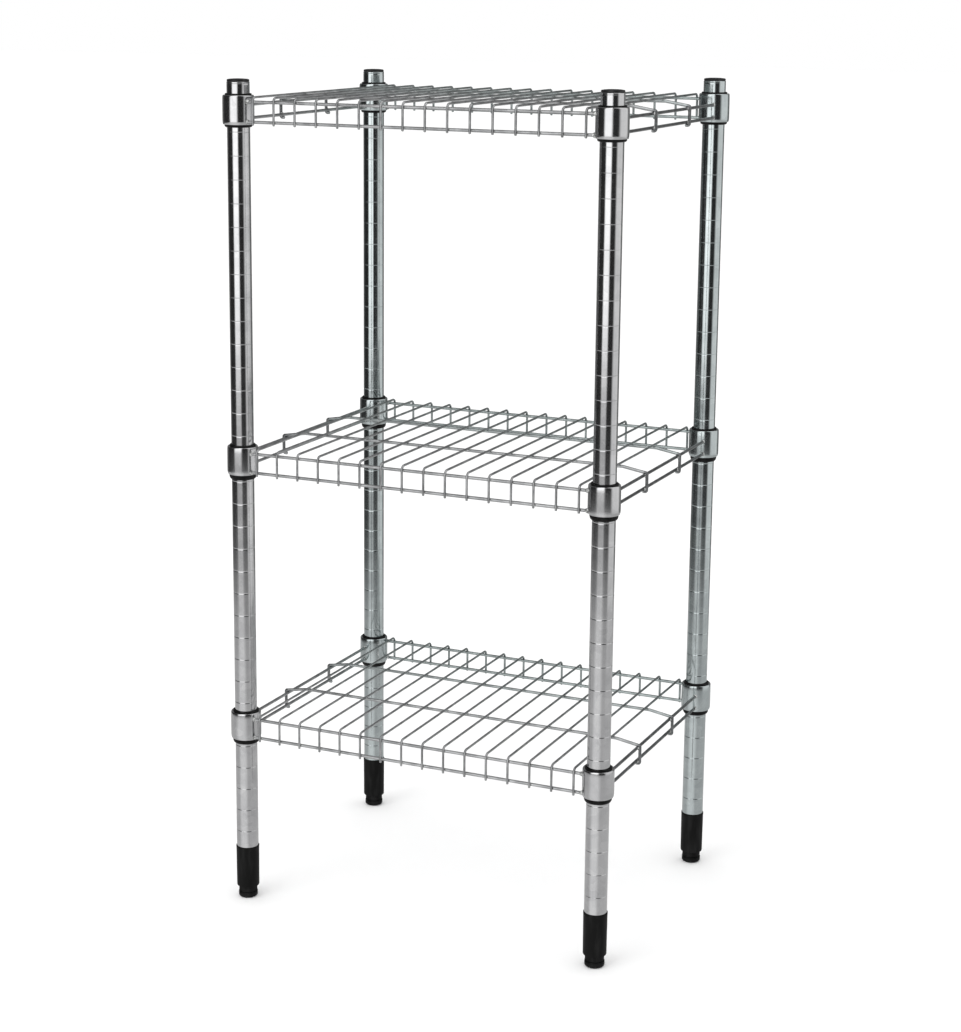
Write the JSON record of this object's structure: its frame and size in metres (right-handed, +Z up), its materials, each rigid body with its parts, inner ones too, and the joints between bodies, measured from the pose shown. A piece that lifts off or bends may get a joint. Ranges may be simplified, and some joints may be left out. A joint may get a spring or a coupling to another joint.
{
  "type": "wire shelf rack",
  "caption": "Free-standing rack of grooved steel tube posts carrying welded wire shelves on wedge clips, with black end caps and screw feet.",
  "frame": {"origin": "middle of the floor rectangle under the posts, at the underside of the glide pads", "axes": "+Z up along the posts, +X to the right seen from the front, +Y from front to back"},
  "size_m": [0.4666, 0.3576, 0.94],
  "materials": {
    "post_steel": "galvanised, satin with grey mottling",
    "collar_steel": "galvanised, satin",
    "shelf_wire": "bright zinc plated wire",
    "cap_plastic": "black, lightly grained",
    "clip_plastic": "black, smooth",
    "foot_plastic": "black, satin"
  },
  "bodies": {
    "frame": {"post_front_left": "post_steel", "post_cap_front_left": "cap_plastic", "foot_sleeve_front_left": "foot_plastic", "post_front_right": "post_steel", "post_cap_front_right": "cap_plastic", "foot_sleeve_front_right": "foot_plastic", "post_back_left": "post_steel", "post_cap_back_left": "cap_plastic", "foot_sleeve_back_left": "foot_plastic", "post_back_right": "post_steel", "post_cap_back_right": "cap_plastic", "foot_sleeve_back_right": "foot_plastic", "clip_bottom_front_left_1": "clip_plastic", "clip_bottom_front_left_2": "clip_plastic", "clip_bottom_front_right_1": "clip_plastic", "clip_bottom_front_right_2": "clip_plastic", "clip_bottom_back_left_1": "clip_plastic", "clip_bottom_back_left_2": "clip_plastic", "clip_bottom_back_right_1": "clip_plastic", "clip_bottom_back_right_2": "clip_plastic", "clip_middle_front_left_1": "clip_plastic", "clip_middle_front_left_2": "clip_plastic", "clip_middle_front_right_1": "clip_plastic", "clip_middle_front_right_2": "clip_plastic", "clip_middle_back_left_1": "clip_plastic", "clip_middle_back_left_2": "clip_plastic", "clip_middle_back_right_1": "clip_plastic", "clip_middle_back_right_2": "clip_plastic", "clip_top_front_left_1": "clip_plastic", "clip_top_front_left_2": "clip_plastic", "clip_top_front_right_1": "clip_plastic", "clip_top_front_right_2": "clip_plastic", "clip_top_back_left_1": "clip_plastic", "clip_top_back_left_2": "clip_plastic", "clip_top_back_right_1": "clip_plastic", "clip_top_back_right_2": "clip_plastic"},
    "shelf_bottom": {"shelf_wires_bottom": "shelf_wire", "collar_bottom_front_left": "collar_steel", "collar_bottom_front_right": "collar_steel", "collar_bottom_back_left": "collar_steel", "collar_bottom_back_right": "collar_steel"},
    "shelf_middle": {"shelf_wires_middle": "shelf_wire", "collar_middle_front_left": "collar_steel", "collar_middle_front_right": "collar_steel", "collar_middle_back_left": "collar_steel", "collar_middle_back_right": "collar_steel"},
    "shelf_top": {"shelf_wires_top": "shelf_wire", "collar_top_front_left": "collar_steel", "collar_top_front_right": "collar_steel", "collar_top_back_left": "collar_steel", "collar_top_back_right": "collar_steel"},
    "pad_front_left": {"foot_pad_front_left": "foot_plastic"},
    "screw_front_left": {"foot_screw_front_left": "foot_plastic"},
    "pad_front_right": {"foot_pad_front_right": "foot_plastic"},
    "screw_front_right": {"foot_screw_front_right": "foot_plastic"},
    "pad_back_left": {"foot_pad_back_left": "foot_plastic"},
    "screw_back_left": {"foot_screw_back_left": "foot_plastic"},
    "pad_back_right": {"foot_pad_back_right": "foot_plastic"},
    "screw_back_right": {"foot_screw_back_right": "foot_plastic"}
  },
  "joints": [
    {"name": "shelf_bottom_lift", "type": "slide", "parent": "frame", "child": "shelf_bottom", "axis": [0, 0, 1], "range_m": [0, 0.272]},
    {"name": "shelf_middle_lift", "type": "slide", "parent": "frame", "child": "shelf_middle", "axis": [0, 0, 1], "range_m": [0, 0.349]},
    {"name": "shelf_top_lift", "type": "slide", "parent": "frame", "child": "shelf_top", "axis": [0, 0, 1], "range_m": [0, 0.08]},
    {"name": "foot_front_left_extend", "type": "slide", "parent": "frame", "child": "pad_front_left", "axis": [0, 0, -1], "range_m": [0, 0.012]},
    {"name": "foot_front_left_turn", "type": "hinge", "parent": "pad_front_left", "child": "screw_front_left", "pos_m": [-0.216, -0.1615, 0.0105], "axis": [0, 0, -1], "range_deg": [0, 1440]},
    {"name": "foot_front_right_extend", "type": "slide", "parent": "frame", "child": "pad_front_right", "axis": [0, 0, -1], "range_m": [0, 0.012]},
    {"name": "foot_front_right_turn", "type": "hinge", "parent": "pad_front_right", "child": "screw_front_right", "pos_m": [0.216, -0.1615, 0.0105], "axis": [0, 0, -1], "range_deg": [0, 1440]},
    {"name": "foot_back_left_extend", "type": "slide", "parent": "frame", "child": "pad_back_left", "axis": [0, 0, -1], "range_m": [0, 0.012]},
    {"name": "foot_back_left_turn", "type": "hinge", "parent": "pad_back_left", "child": "screw_back_left", "pos_m": [-0.216, 0.1615, 0.0105], "axis": [0, 0, -1], "range_deg": [0, 1440]},
    {"name": "foot_back_right_extend", "type": "slide", "parent": "frame", "child": "pad_back_right", "axis": [0, 0, -1], "range_m": [0, 0.012]},
    {"name": "foot_back_right_turn", "type": "hinge", "parent": "pad_back_right", "child": "screw_back_right", "pos_m": [0.216, 0.1615, 0.0105], "axis": [0, 0, -1], "range_deg": [0, 1440]}
  ],
  "couplings": [
    {"joint": "foot_front_left_extend", "follows": "foot_front_left_turn", "m_per_rad": 0.000477},
    {"joint": "foot_front_right_extend", "follows": "foot_front_right_turn", "m_per_rad": 0.000477},
    {"joint": "foot_back_left_extend", "follows": "foot_back_left_turn", "m_per_rad": 0.000477},
    {"joint": "foot_back_right_extend", "follows": "foot_back_right_turn", "m_per_rad": 0.000477}
  ]
}
